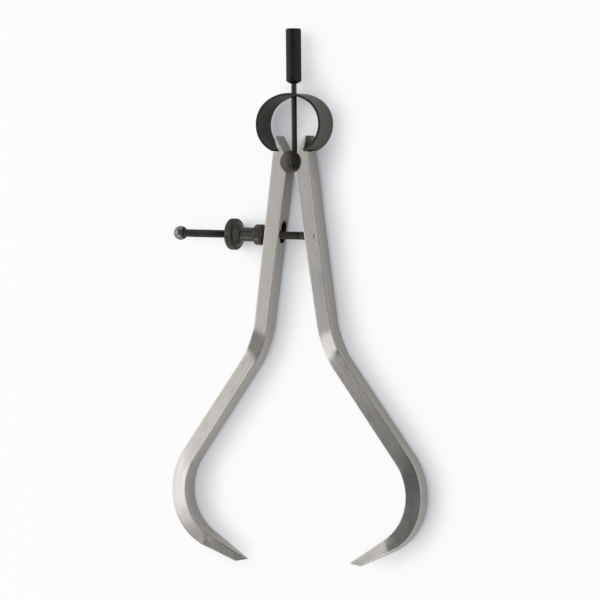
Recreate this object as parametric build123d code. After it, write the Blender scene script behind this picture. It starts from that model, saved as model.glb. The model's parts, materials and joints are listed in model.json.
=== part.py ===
from build123d import *
import os
from math import asin, atan2, cos, degrees, radians, sin, sqrt

# Outside caliper with a bow spring, lying on its back. Lengths are millimetres, angles are degrees.
# Everything is drawn with the fulcrum's axis on Z through the origin: the handle points to +Y,
# the legs hang to -Y and stand side by side in X. The last function shifts it all onto its resting plane.

# Legs: bent square bar, the right one on +X, the left one its mirror image
leg_depth = 6.8
head_offset = 4.53
bar_lean = 8.0
bar_length = 60.0
bend_radius = 34.0
shank_lean = 36.15
shank_length = 42.7
foot_radius = 22.0
toe_lean = -62.0
head_width = 6.6
bend_width = 5.7
shank_width = 5.9
foot_width = 6.1
foot_end_inner = 3.05
foot_end_outer = 1.8
toe_inner = (21.2, -147.6)
toe_outer = (26.0, -148.5)
toe_bevel_length = 15.5
toe_bevel_overrun = 4.0
toe_depth = 2.0
edge_break = 0.3

# Heads of the legs
shoulder_height = 3.75
horn_root = 5.45
horn_height = 9.6
horn_tip_outer = 6.8
horn_tip_inner = 5.9
horn_face_foot = (0.34, -0.46)
seat_clearance = 0.05

# Fulcrum stud
stud_head_radius = 4.1
stud_neck_radius = 3.0
stud_head_thickness = 0.9
stud_side_play = 0.1
stud_bevel = 1.1
stud_bevel_drop = 0.45
stud_dimple_radius = 0.6

# Bow spring
spring_width = 10.8
spring_thickness = 0.95
spring_top = 25.3
spring_side_radius = 10.6
spring_side_offset = 2.75
spring_side_height = 13.9
spring_end = 6.4

# Handle
stem_radius = 1.0
stem_foot = 0.8
stem_chamfer = 0.2
stem_play = 0.02
grip_radius = 2.85
grip_foot = 28.9
grip_foot_radius = 1.6
grip_cone_height = 0.9
grip_top = 49.2
grip_chamfer = 0.6
grip_socket = 12.0
grip_socket_end_gap = 0.5

# Adjusting screw, on a line from its pivot in the right leg through the left leg
pivot = (8.8, -27.4)
leg_seat = (-11.43, -26.83)
screw_radius = 1.5
eye_radius = 1.9
tongue_thickness = 2.4
tongue_length = 5.2
screw_root_radius = 0.6
screw_chamfer = 0.3
mortise_width = 2.6
mortise_play = 0.25
pin_radius = 0.75
pin_play = 0.05
ball_distance = 57.12
ball_radius = 2.65
ball_neck_radius = 1.0
ball_neck_length = 1.6

# Nut and collar, as distances along the screw from its pivot
screw_play = 0.1
collar_apex = 20.2
collar_end = 24.9
collar_radius = 3.9
collar_dome_radius = 4.6
collar_chamfer = 0.4
nut_start = 24.95
hub_radius = 2.6
hub_chamfer = 0.3
hub_end = 30.9
nut_shoulder_radius = 4.7
rim_start = 32.8
rim_end = 35.85
rim_radius = 5.85
rim_chamfer = 0.4
knurl_count = 48
knurl_depth = 0.22

# Clearance slot of the left leg: long on the inner face, short where the collar bears
slot_width = 4.2
slot_inner_length = 8.6
slot_outer_length = 5.0
slot_inner_rise = 1.9
slot_outer_rise = 0.2

# How far each leg opens and closes from the drawn position
opening_angle = 19.0
closing_angle = 8.1

# How far a drill runs past the faces that it cuts
drill_overrun = 1.0


def heading(lean):
    """Unit vector down a leg that leans away from the tool's axis by the angle."""
    return Vector(sin(radians(lean)), -cos(radians(lean)))


def across(lean):
    """Unit vector square to the heading, pointing away from the tool's axis."""
    return Vector(cos(radians(lean)), sin(radians(lean)))


def turned(axis_plane, *stations):
    """Solid turned about the plane's normal, from (distance, radius) stations."""
    side = [(radius, distance) for distance, radius in stations]
    outline = Polyline((0, side[0][1]), *side, (0, side[-1][1]), close=True)
    return axis_plane * revolve(Plane.XZ * make_face(outline), Axis.Z)


def leg_outline():
    """Flat outline of the right leg: bar, bend, shank, foot, toe and the horn over the fulcrum."""
    bar_top = Vector(head_offset, 0)
    bend_start = bar_top + heading(bar_lean) * bar_length
    bend_centre = bend_start + across(bar_lean) * bend_radius
    shank_start = bend_centre - across(shank_lean) * bend_radius
    foot_start = shank_start + heading(shank_lean) * shank_length
    foot_centre = foot_start - across(shank_lean) * foot_radius
    bend_middle = (bar_lean + shank_lean) / 2
    foot_quarter = shank_lean * 0.75 + toe_lean * 0.25
    foot_middle = (shank_lean + toe_lean) / 2

    def edge(side, foot_end_reach, toe):
        """One long edge: side is 1 on the outside of the leg and -1 on the inside."""

        def beside(point, lean, width):
            return point + across(lean) * (side * width / 2)

        def beside_foot(lean, width):
            return beside(foot_centre + across(lean) * foot_radius, lean, width)

        head = beside(bar_top, bar_lean, head_width)
        bend = [
            beside(bend_start, bar_lean, bend_width),
            beside(bend_centre - across(bend_middle) * bend_radius, bend_middle, bend_width),
            beside(shank_start, shank_lean, bend_width),
        ]
        foot = [
            beside_foot(shank_lean, shank_width),
            beside_foot(foot_quarter, (shank_width + foot_width) / 2),
            beside_foot(foot_middle, foot_width),
        ]
        foot_end = beside_foot(toe_lean, foot_end_reach * 2)
        lines = [
            Line(head, bend[0]),
            ThreePointArc(*bend),
            Line(bend[2], foot[0]),
            ThreePointArc(*foot),
            TangentArc(foot[2], foot_end, tangent=heading(foot_middle)),
            Line(foot_end, toe),
        ]
        return head, lines

    outer_head, outer_lines = edge(1, foot_end_outer, toe_outer)
    inner_head, inner_lines = edge(-1, foot_end_inner, toe_inner)
    rise = shoulder_height - outer_head.Y
    shoulder = outer_head - heading(bar_lean) * (rise / cos(radians(bar_lean)))
    head_line = Polyline(
        outer_head,
        shoulder,
        (horn_root, shoulder_height),
        (horn_tip_outer, horn_height),
        (horn_tip_inner, horn_height),
        horn_face_foot,
        inner_head,
    )
    return make_face(outer_lines + [Line(toe_outer, toe_inner)] + inner_lines + [head_line])


def toe_wedge(face):
    """Wedge that thins the toe from the front (face 1) or the back (face -1)."""
    toe_middle = (Vector(toe_inner) + Vector(toe_outer)) / 2
    start = toe_middle - heading(toe_lean) * toe_bevel_length
    length = toe_bevel_length + toe_bevel_overrun
    drop = (leg_depth - toe_depth) / 2 * length / toe_bevel_length
    top = face * leg_depth / 2
    side = Plane(origin=(start.X, start.Y, 0), x_dir=heading(toe_lean), z_dir=across(toe_lean))
    profile = Polyline((0, -top), (length, -top), (length, -top + face * drop), close=True)
    return extrude(side * make_face(profile), leg_depth, both=True)


def leg_blank():
    """Leg with its horn, seat and toe, before the screw's opening is cut."""
    blank = extrude(leg_outline(), leg_depth / 2, both=True)
    faces = blank.faces().filter_by(Axis.Z)
    blank = chamfer(faces.edges(), edge_break)
    seat = Cylinder(stud_neck_radius + seat_clearance, leg_depth * 2)
    return blank - seat - toe_wedge(1) - toe_wedge(-1)


def left_leg():
    """Mirror image of the blank, with the clearance slot that flares towards its inner face."""
    reach = bend_width / 2 + edge_break * 2
    centre = Vector(-leg_seat[0], leg_seat[1]) - across(bar_lean) * (bend_width / 2)
    uphill = -heading(bar_lean)

    def mouth(side, length, rise):
        origin = centre + across(bar_lean) * (side * reach) + uphill * rise
        return Plane(origin=origin, x_dir=uphill, z_dir=across(bar_lean)) * SlotOverall(length, slot_width)

    inner_mouth = mouth(-1, slot_inner_length, slot_inner_rise)
    outer_mouth = mouth(1, slot_outer_length, slot_outer_rise)
    return mirror(leg_blank() - loft([inner_mouth, outer_mouth]), Plane.YZ)


def tongue(play):
    """Flat end of the screw with its round eye, or with play the space that it swings in."""
    eye = Circle(eye_radius + play)
    flat = Pos(tongue_length / 2 + play, 0) * Rectangle(tongue_length, (eye_radius + play) * 2)
    return eye + flat


def right_leg():
    """Blank with the mortise that the screw's end swings in, and the cross hole for its pin."""
    along = screw_angle()
    swings = [along + closing_angle, along, along - opening_angle / 2, along - opening_angle]
    mortise = Part()
    for angle in swings:
        space = extrude(Rot(0, 0, angle) * tongue(mortise_play), mortise_width / 2, both=True)
        mortise += space
    place = Pos(pivot[0], pivot[1])
    cross_hole = Cylinder(pin_radius, leg_depth * 2)
    return leg_blank() - place * mortise - place * cross_hole


def screw_angle():
    """Direction of the screw, from its pivot to its free end."""
    return degrees(atan2(leg_seat[1] - pivot[1], leg_seat[0] - pivot[0]))


def screw_line():
    """Plane at the pivot whose normal runs along the screw."""
    return Plane(origin=(*pivot, 0), x_dir=(0, 0, 1), z_dir=Vector(1, 0).rotate(Axis.Z, screw_angle()))


def adjusting_screw():
    """Round rod with a flat eye at the pivot and a thin neck in the end stop."""
    flat = extrude(Rot(0, 0, screw_angle()) * tongue(0), tongue_thickness / 2, both=True)
    neck_start = ball_distance - ball_radius
    rod = turned(
        screw_line(),
        (tongue_length - tongue_thickness / 2, screw_root_radius),
        (tongue_length, screw_radius),
        (neck_start - ball_neck_length, screw_radius),
        (neck_start - ball_neck_length + screw_chamfer, ball_neck_radius),
        (ball_distance, ball_neck_radius),
    )
    eye_hole = Cylinder(pin_radius + pin_play, leg_depth)
    return Pos(*pivot) * (flat - eye_hole) + rod


def screw_pivot_pin():
    """Plain pin, flush with both faces of the right leg."""
    return Pos(*pivot) * Cylinder(pin_radius, leg_depth)


def end_stop():
    """Bright ball with a blind hole for the screw's neck."""
    ball = screw_line() * Pos(0, 0, ball_distance) * Sphere(ball_radius)
    hole = turned(
        screw_line(),
        (ball_distance - ball_radius * 2, ball_neck_radius),
        (ball_distance, ball_neck_radius),
    )
    return ball - hole


def thrust_collar():
    """Short bored drum whose domed end bears on the left leg round the slot."""
    bore = screw_radius + screw_play

    def on_dome(radius):
        return radius, collar_apex + collar_dome_radius - sqrt(collar_dome_radius**2 - radius**2)

    dome = ThreePointArc(on_dome(bore), on_dome((bore + collar_radius) / 2), on_dome(collar_radius))
    drum = Polyline(
        dome @ 1,
        (collar_radius, collar_end - collar_chamfer),
        (collar_radius - collar_chamfer, collar_end),
        (bore, collar_end),
        dome @ 0,
    )
    return screw_line() * revolve(Plane.XZ * make_face([dome, drum]), Axis.Z)


def adjusting_nut():
    """Hub, sloping shoulder and straight-knurled rim, turned as one piece."""
    body = turned(
        screw_line(),
        (nut_start, hub_radius - hub_chamfer),
        (nut_start + hub_chamfer, hub_radius),
        (hub_end, hub_radius),
        (rim_start, nut_shoulder_radius),
        (rim_start, rim_radius - rim_chamfer),
        (rim_start + rim_chamfer, rim_radius),
        (rim_end - rim_chamfer, rim_radius),
        (rim_end, rim_radius - rim_chamfer),
    )
    rim_middle = (rim_start + rim_end) / 2
    side = knurl_depth * sqrt(2)
    groove = Pos(rim_radius, 0, rim_middle) * Rot(0, 0, 45) * Box(side, side, (rim_end - rim_start) * 2)
    for place in screw_line() * PolarLocations(0, knurl_count, start_angle=180 / knurl_count):
        body -= place * groove
    bore = screw_radius + screw_play
    return body - turned(screw_line(), (nut_start - drill_overrun, bore), (rim_end + drill_overrun, bore))


def fulcrum_stud():
    """Spool between the legs, with the same bevelled head front and back and a tapped hole for the stem."""
    inside = leg_depth / 2 + stud_side_play
    outside = inside + stud_head_thickness
    spool = turned(
        Plane.XY,
        (-outside, stud_head_radius - stud_bevel),
        (-outside + stud_bevel_drop, stud_head_radius),
        (-inside, stud_head_radius),
        (-inside, stud_neck_radius),
        (inside, stud_neck_radius),
        (inside, stud_head_radius),
        (outside - stud_bevel_drop, stud_head_radius),
        (outside, stud_head_radius - stud_bevel),
    )
    centred_below = (Align.CENTER, Align.CENTER, Align.MAX)
    dimple = Cone(0, stud_dimple_radius, stud_dimple_radius, align=centred_below)
    for turn in (0, 180):
        spool -= Rot(turn, 0, 0) * Pos(0, 0, outside) * dimple
    bore = stem_radius + stem_play
    return spool - turned(handle_line(), (stem_foot, bore), (stud_head_radius + drill_overrun, bore))


def handle_line():
    """Plane at the fulcrum whose normal runs along the handle."""
    return Plane(origin=(0, 0, 0), x_dir=(1, 0, 0), z_dir=(0, 1, 0))


def handle_stem():
    """Thin rod from the stud, through the spring's crown, into the grip."""
    return turned(
        handle_line(),
        (stem_foot, stem_radius - stem_chamfer),
        (stem_foot + stem_chamfer, stem_radius),
        (grip_foot + grip_socket - grip_socket_end_gap, stem_radius),
    )


def handle_grip():
    """Cylinder with a chamfered top, a short cone below and a socket for the stem."""
    grip = turned(
        handle_line(),
        (grip_foot, grip_foot_radius),
        (grip_foot + grip_cone_height, grip_radius),
        (grip_top - grip_chamfer, grip_radius),
        (grip_top, grip_radius - grip_chamfer),
    )
    bore = stem_radius + stem_play
    return grip - turned(handle_line(), (grip_foot - drill_overrun, bore), (grip_foot + grip_socket, bore))


def bow_spring():
    """Strip bent to a ring that is open below, with a hole at its crown for the stem."""
    rise = spring_top - spring_side_height
    half_chord_squared = spring_side_offset**2 + rise**2 - spring_side_radius**2
    crown_radius = half_chord_squared / (2 * (rise - spring_side_radius))
    crown_height = spring_top - crown_radius
    joint_angle = degrees(atan2(spring_side_height - crown_height, spring_side_offset))
    end_angle = -90 + degrees(asin((spring_end - spring_side_offset) / spring_side_radius))

    def ring(inset):
        """Half of the ring's outline on +X, from its end to the middle of the crown."""
        side = CenterArc(
            (spring_side_offset, spring_side_height),
            spring_side_radius - inset,
            end_angle,
            joint_angle - end_angle,
        )
        crown = CenterArc((0, crown_height), crown_radius - inset, joint_angle, 90 - joint_angle)
        return side, crown

    outer_side, outer_crown = ring(0)
    inner_side, inner_crown = ring(spring_thickness)
    half = make_face(
        [
            outer_side,
            outer_crown,
            Line(outer_crown @ 1, inner_crown @ 1),
            inner_crown,
            inner_side,
            Line(outer_side @ 0, inner_side @ 0),
        ]
    )
    strip = extrude(half + mirror(half, Plane.YZ), spring_width / 2, both=True)
    bore = stem_radius + screw_play
    inside = spring_top - spring_thickness - drill_overrun
    return strip - turned(handle_line(), (inside, bore), (spring_top + drill_overrun, bore))


def write_parts():
    """Shift every piece so that the origin is the middle of the tool's footprint, and write it."""
    middle = (grip_top + toe_outer[1]) / 2
    rest = Pos(0, -middle, rim_radius)
    pieces = [
        left_leg,
        right_leg,
        bow_spring,
        fulcrum_stud,
        handle_stem,
        handle_grip,
        adjusting_screw,
        screw_pivot_pin,
        adjusting_nut,
        thrust_collar,
        end_stop,
    ]
    os.makedirs("parts", exist_ok=True)
    for piece in pieces:
        export_step(rest * piece(), f"parts/{piece.__name__}.step")


write_parts()
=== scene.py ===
import json
import math

import bpy
import numpy as np
from bpy.props import FloatProperty, FloatVectorProperty, PointerProperty
from mathutils import Matrix


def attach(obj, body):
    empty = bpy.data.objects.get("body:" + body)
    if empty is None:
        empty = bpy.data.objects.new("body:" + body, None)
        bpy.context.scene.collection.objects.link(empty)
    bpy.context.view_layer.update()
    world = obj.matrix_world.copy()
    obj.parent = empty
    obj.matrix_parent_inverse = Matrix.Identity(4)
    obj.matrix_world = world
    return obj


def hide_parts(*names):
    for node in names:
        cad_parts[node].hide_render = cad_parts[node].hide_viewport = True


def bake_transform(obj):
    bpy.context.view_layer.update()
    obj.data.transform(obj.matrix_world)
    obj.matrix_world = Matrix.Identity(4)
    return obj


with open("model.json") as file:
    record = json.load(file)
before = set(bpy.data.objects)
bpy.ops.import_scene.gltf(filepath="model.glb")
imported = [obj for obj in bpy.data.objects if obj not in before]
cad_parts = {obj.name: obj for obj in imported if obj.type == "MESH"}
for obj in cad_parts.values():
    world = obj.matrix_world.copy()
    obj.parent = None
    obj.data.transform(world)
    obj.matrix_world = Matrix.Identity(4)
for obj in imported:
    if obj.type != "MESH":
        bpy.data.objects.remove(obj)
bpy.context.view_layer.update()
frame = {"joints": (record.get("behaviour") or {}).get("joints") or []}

bl_info = {
    "name": "Outside Caliper Look",
    "version": (1, 0, 0),
    "blender": (4, 5, 0),
    "location": "View3D > Sidebar > Caliper",
    "description": "Dresses the packed spring-bow outside caliper: surfaces, finishes, stage and camera",
    "category": "Object",
}

# Sizes are in millimetres in the tool's drawing frame, where the fulcrum's axis is Z through the origin and
# the handle points to +Y. MM turns them into the row frame's metres.
MM = 0.001
joints = {joint["name"]: joint for joint in frame["joints"]}
fulcrum = np.array(joints["left_leg_swing"]["pos_m"])
pivot = np.array(joints["screw_swivel"]["pos_m"])
screw_axis = np.array(joints["collar_travel"]["axis"]) / np.linalg.norm(joints["collar_travel"]["axis"])
screw_direction = math.atan2(screw_axis[1], screw_axis[0])
handle_axis = np.array([0.0, 1.0, 0.0])
front_axis = np.array([0.0, 0.0, 1.0])

leg_depth = 6.8
head_offset = 4.53
bar_lean = 8.0
bar_length = 60.0
bend_radius = 34.0
shank_lean = 36.15
shank_length = 42.7
foot_radius = 22.0
toe_lean = -62.0
head_width = 6.6
bend_width = 5.7
shank_width = 5.9
foot_width = 6.1
foot_end_inner = 3.05
foot_end_outer = 1.8
toe_inner = np.array([21.2, -147.6])
toe_outer = np.array([26.0, -148.5])
toe_bevel_length = 15.5
toe_depth = 2.0
shoulder_height = 3.75
horn_root = 5.45
horn_height = 9.6
horn_tip_outer = 6.8
horn_tip_inner = 5.9
horn_face_foot = np.array([0.34, -0.46])
seat_radius = 3.05
head_end = -4.5
toe_softening = 0.35

# Rows of points along the leg: the head's stand on the horn, at the shoulder, above, on and below the seat
head_rows = (40, 16, 10, 44, 14)
bar_rows = 70
bend_rows = 36
shank_rows = 60
foot_rows = 48
toe_rows = 40

# Clearance slot of the left leg, at its inner and its outer end, and mortise of the right leg
slot_seat = np.array([11.43, -26.83])
slot_width = 4.2
slot_length = (8.6, 5.0)
slot_rise = (1.9, 0.2)
slot_overrun = 0.6
mortise_width = 2.6
mortise_play = 0.25
mortise_reach = 5.45
closing_angle = math.radians(8.1)
opening_angle = math.radians(19.0)

# The stud's domed face, with a centre dimple: height over stud_outside, and distance from the axis
stud_head_radius = 4.1
stud_neck_radius = 3.0
stud_inside = 3.5
stud_outside = 4.4
stud_face = [(0.0, 0.0), (0.13, 0.4), (0.15, 0.5), (0.05, 1.9), (-0.15, 3.1), (-0.5, stud_head_radius)]

spring_width = 10.8
spring_thickness = 0.95
spring_top = 25.3
spring_side_radius = 10.6
spring_side_offset = 2.75
spring_side_height = 13.9
spring_end = 6.4
spring_edge = 0.22

stem_radius = 1.0
stem_hole_radius = 1.1
stem_hole_reach = (20.0, 30.0)
stem_foot = 0.8
stem_in_grip = 11.5
grip_radius = 2.85
grip_foot = 28.9
grip_foot_radius = 1.35
grip_cone_height = 0.9
grip_top = 49.2
grip_knurl_turns = 26
grip_knurl_depth = 0.09
grip_knurl_start = grip_foot + 2.0
grip_knurl_end = grip_top - 1.8

screw_radius = 1.5
thread_depth = 0.3
eye_radius = 1.9
eye_hole_radius = 0.8
tongue_thickness = 2.4
tongue_length = 5.2
pin_radius = 0.75
pin_hole_radius = 0.79
drill_reach = 5.0
ball_distance = 57.12
ball_radius = 2.65
collar_apex = 20.2
collar_end = 24.9
collar_radius = 3.9
collar_dome_radius = 4.6
collar_dome_edge = 3.8
nut_start = 24.95
hub_radius = 2.6
hub_end = 30.9
nut_shoulder_radius = 4.7
rim_start = 32.8
rim_end = 35.85
rim_radius = 5.85
rim_chamfer = 0.4
nut_dish_radius = 2.5
nut_dish_depth = 0.25
knurl_count = 48

# Lamps in metres in the row frame: width and length, place, and the point that each faces
key_box = ((0.43, 0.60), (-0.45, 0.10, 0.40), (0.0, 0.10, 0.0))
fill_box = ((0.60, 0.40), (-0.30, -0.62, 0.62), (0.0, 0.0, 0.0))

# Camera: focal length, tip towards the handle, roll, and the point in the drawing frame that it looks at
camera_lens = 194.98
camera_tip = math.radians(1.379)
camera_roll = math.radians(-0.558)
camera_target = (1.655, -50.95, 0.0)

# Angle between two faces, from which the edge between them is sharp, and the same for the grip's fine knurl
sharp_angle = math.radians(32.0)
knurl_sharp_angle = math.radians(60.0)


class LegLook(bpy.types.PropertyGroup):
    """Sizes and colours of the two steel legs."""

    edge_radius: FloatProperty(
        name="Edge Radius", description="Rounding along the bar's long edges",
        default=0.3 * MM, min=0.05 * MM, max=1.0 * MM, unit="LENGTH", precision=5)
    bend_swell: FloatProperty(
        name="Bend Swell", description="Tilt of the broad faces where bending swelled the inside",
        default=math.radians(7.0), min=0.0, max=math.radians(10.0), subtype="ANGLE")
    colour: FloatVectorProperty(
        name="Steel", description="Colour of the ground steel",
        default=(0.56, 0.54, 0.515), min=0.0, max=1.0, subtype="COLOR")
    roughness: FloatProperty(
        name="Roughness", description="Roughness of the ground faces",
        default=0.24, min=0.0, max=1.0, subtype="FACTOR")


class DarkLook(bpy.types.PropertyGroup):
    """Colours of the blackened pieces and of the bright stop."""

    turned_colour: FloatVectorProperty(
        name="Turned Pieces", description="Colour of the blackened turned pieces",
        default=(0.062, 0.060, 0.055), min=0.0, max=1.0, subtype="COLOR")
    spring_colour: FloatVectorProperty(
        name="Spring", description="Colour of the blackened strip",
        default=(0.102, 0.096, 0.084), min=0.0, max=1.0, subtype="COLOR")
    bright_colour: FloatVectorProperty(
        name="Bright Stop", description="Colour of the bright ball",
        default=(0.23, 0.23, 0.22), min=0.0, max=1.0, subtype="COLOR")
    thread_pitch: FloatProperty(
        name="Thread Pitch", description="Distance from one turn of the thread to the next",
        default=0.6 * MM, min=0.3 * MM, max=1.5 * MM, unit="LENGTH", precision=5)
    knurl_depth: FloatProperty(
        name="Knurl Depth", description="Depth of the nut's straight knurl",
        default=0.22 * MM, min=0.0, max=0.5 * MM, unit="LENGTH", precision=5)


class StageLook(bpy.types.PropertyGroup):
    """Floor, light and camera."""

    floor_colour: FloatVectorProperty(
        name="Floor", description="Colour of the floor",
        default=(0.93, 0.93, 0.93), min=0.0, max=1.0, subtype="COLOR")
    # sky_side, shadow_reach, open_from, glow_share and mirrored_share set the floor's glow and the shadow
    # painted into it by ambient occlusion.
    sky_side: FloatVectorProperty(
        name="Sky Side", description="Direction in which the sky that shades the floor is brightest",
        default=(-0.45, 0.12, 0.885), min=-1.0, max=1.0, subtype="DIRECTION")
    shadow_reach: FloatProperty(
        name="Shadow Reach", description="Distance at which the tool stops shading the floor beside it",
        default=0.014, min=0.0, max=0.2, unit="LENGTH", precision=4)
    open_from: FloatProperty(
        name="Open From", description="Share of open sky over the floor from which it is white",
        default=0.8, min=0.0, max=1.0, subtype="FACTOR")
    glow_share: FloatProperty(
        name="Backdrop Share", description="Share of the floor's look that comes from the open sky",
        default=0.92, min=0.0, max=1.0, subtype="FACTOR")
    mirrored_share: FloatProperty(
        name="Mirrored Share", description="Part of the backdrop share left where the floor is mirrored",
        default=0.35, min=0.0, max=1.0, subtype="FACTOR")
    key_power: FloatProperty(
        name="Key Power", description="Power of the soft box at the left",
        default=1.3, min=0.0, soft_max=100.0, unit="POWER")
    fill_power: FloatProperty(
        name="Fill Power", description="Power of the soft box beyond the tips",
        default=1.8, min=0.0, soft_max=100.0, unit="POWER")
    zenith: FloatProperty(
        name="Zenith", description="Strength of the surroundings straight above",
        default=0.12, min=0.0, max=1.0, subtype="FACTOR")
    right_sky: FloatProperty(
        name="Right Sky", description="Strength of the surroundings high on the right",
        default=0.75, min=0.0, max=1.0, subtype="FACTOR")
    camera_lean: FloatProperty(
        name="Camera Lean", description="Angle of the camera to the right of straight above the tool",
        default=math.radians(26.895), subtype="ANGLE")
    camera_distance: FloatProperty(
        name="Camera Distance", description="Distance from the camera to the point it looks at",
        default=1.2, min=0.3, max=5.0, unit="LENGTH")


def in_row_frame(points):
    """Drawing frame millimetres to the row frame's metres."""
    return np.asarray(points, float) * MM + fulcrum


def circle(turn):
    """Points of the unit circle at the angles."""
    return np.stack([np.cos(turn), np.sin(turn)], -1)


def across(lean):
    """Unit vectors square to a leg that leans by the angles, pointing away from the tool's axis."""
    return circle(np.radians(lean))


def heading(lean):
    """Unit vectors down a leg that leans away from the tool's axis by the angles."""
    lean = np.radians(lean)
    return np.stack([np.sin(lean), -np.cos(lean)], -1)


def between(start, end, count):
    """Evenly spaced points from start up to, and without, the end."""
    share = np.arange(count)[:, None] / count
    return np.asarray(start) + (np.asarray(end) - np.asarray(start)) * share


def chain(points, counts):
    """Evenly spaced points from each point to the next, as many as the counts say, without the last."""
    return np.concatenate([between(*ends) for ends in zip(points, points[1:], counts)])


def walked(points):
    """Length of the way along the points up to each of them."""
    return np.concatenate([[0], np.cumsum(np.linalg.norm(np.diff(points, axis=0), axis=1))])


def faded(distance, start, end, fade):
    """1 between the start and the end, falling evenly to 0 over the fade inside each of them."""
    return np.clip(np.minimum(distance - start, end - distance) / fade, 0, 1)


def tangent_arc(start, direction, end, count):
    """Points of the arc that leaves its start in the direction and reaches the end, without the end point.
    With p and q the chord's parts along and square to the direction, the radius is chord^2 / 2q and the arc
    turns by 2 atan2(q, p)."""
    chord = np.asarray(end) - start
    square = np.array([-direction[1], direction[0]])
    p, q = chord @ direction, chord @ square
    radius = (chord @ chord) / (2 * q)
    turn = 2 * math.atan2(q, p) * np.arange(count)[:, None] / count
    return start + radius * (np.sin(turn) * direction + (1 - np.cos(turn)) * square)


def smoothed(points, passes):
    """Points averaged with their neighbours in the ratio 1:2:1, as often as said, with fixed ends."""
    for _ in range(passes):
        points = np.concatenate(
            [points[:1], (points[:-2] + 2 * points[1:-1] + points[2:]) / 4, points[-1:]])
    return points


def eased(corners, cuts, steps=6):
    """Open outline with eased corners. Corner B becomes the parabola
    (1-t)^2 A + 2t(1-t) B + t^2 C, where A and C lie the cut's length from B on the lines that meet there."""
    corners = np.asarray(corners, float)
    cuts = np.broadcast_to(cuts, len(corners) - 2)[:, None]
    middle = corners[1:-1]
    before = corners[:-2] - middle
    after = corners[2:] - middle
    a = middle + before / np.linalg.norm(before, axis=1, keepdims=True) * cuts
    c = middle + after / np.linalg.norm(after, axis=1, keepdims=True) * cuts
    t = np.linspace(0, 1, steps)[None, :, None]
    curve = (1 - t) ** 2 * a[:, None] + 2 * t * (1 - t) * middle[:, None] + t ** 2 * c[:, None]
    outline = np.concatenate([corners[:1], curve.reshape(-1, 2), corners[-1:]])
    step = np.linalg.norm(np.diff(outline, axis=0), axis=1)
    same_place = 1e-6
    return outline[np.concatenate([[True], step > same_place])]


def refined(outline, spacing):
    """Outline with extra points, so that no two neighbours are further apart than the spacing."""
    along = walked(outline)
    extra = np.arange(0, along[-1], spacing)
    places = np.unique(np.round(np.concatenate([along, extra]), 5))
    places = places[np.concatenate([[True], np.diff(places) > spacing / 8])]
    places[-1] = along[-1]
    return np.stack([np.interp(places, along, outline[:, axis]) for axis in (0, 1)], -1)


def make_mesh(name, points, faces, uv):
    """Object at the origin from points in the row frame; the faces are turned to point outwards."""
    mesh = bpy.data.meshes.new(name)
    corners = np.array([(face[0], face[k], face[k + 1]) for face in faces for k in range(1, len(face) - 1)])
    a, b, c = (points[corners[:, k]] for k in range(3))
    if np.einsum("ij,ij->i", a, np.cross(b, c)).sum() < 0:
        faces = [face[::-1] for face in faces]
        uv = [patch[::-1] for patch in uv]
    mesh.from_pydata(points.tolist(), [], faces)
    layer = mesh.uv_layers.new(name="grain")
    layer.data.foreach_set("uv", np.concatenate(uv).astype(np.float32).ravel())
    mesh.polygons.foreach_set("use_smooth", np.ones(len(faces), bool))
    mesh.set_sharp_from_angle(angle=sharp_angle)
    mesh.update()
    piece = bpy.data.objects.new(name, mesh)
    bpy.context.scene.collection.objects.link(piece)
    return piece


def ring_surface(name, rings, along, around, apexes=None, loop=False):
    """Surface through closed rings. Point (i, j) is point j of ring i, and a quad joins it to its neighbours
    on its own ring and on the next. apexes are the points that close the first and the last ring, by default
    their middles; with loop the last ring joins the first. along and around are lengths in metres for the
    grain map, one for each ring or for each point, and around has one more column, which closes the ring."""
    count, size = rings.shape[:2]
    spans = count if loop else count - 1
    i, j = np.meshgrid(np.arange(spans), np.arange(size), indexing="ij")
    i, j = i.ravel(), j.ravel()
    following, beside = (i + 1) % count, (j + 1) % size
    quads = np.stack([i * size + j, i * size + beside, following * size + beside, following * size + j], -1)
    along = np.reshape(along, (count, -1))
    if loop:
        along = np.vstack([along, along[-1:] + along[1:2] - along[:1]])
    along = np.broadcast_to(along, (len(along), size + 1))
    around = np.broadcast_to(around, along.shape)
    grain = np.stack([along, around], -1)
    patch = np.stack([grain[i, j], grain[i, j + 1], grain[i + 1, j + 1], grain[i + 1, j]], 1)
    points = rings.reshape(-1, 3)
    faces = quads.tolist()
    uv = list(patch)
    if not loop:
        apexes = [rings[0].mean(0), rings[-1].mean(0)] if apexes is None else apexes
        column = np.arange(size)
        beyond = (column + 1) % size
        for ring, apex, flip in ((0, apexes[0], True), (count - 1, apexes[1], False)):
            centre = len(points)
            points = np.vstack([points, apex])
            fan = np.stack([ring * size + column, ring * size + beyond, np.full(size, centre)], -1)
            reach = np.linalg.norm(rings[ring] - apex, axis=1).mean()
            tip = (grain[ring, :-1] + grain[ring, 1:]) / 2 + [-reach if flip else reach, 0]
            fan_map = np.stack([grain[ring, :-1], grain[ring, 1:], tip], 1)
            faces += (fan[:, ::-1] if flip else fan).tolist()
            uv += list(fan_map[:, ::-1] if flip else fan_map)
    return make_mesh(name, points, faces, uv)


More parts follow.
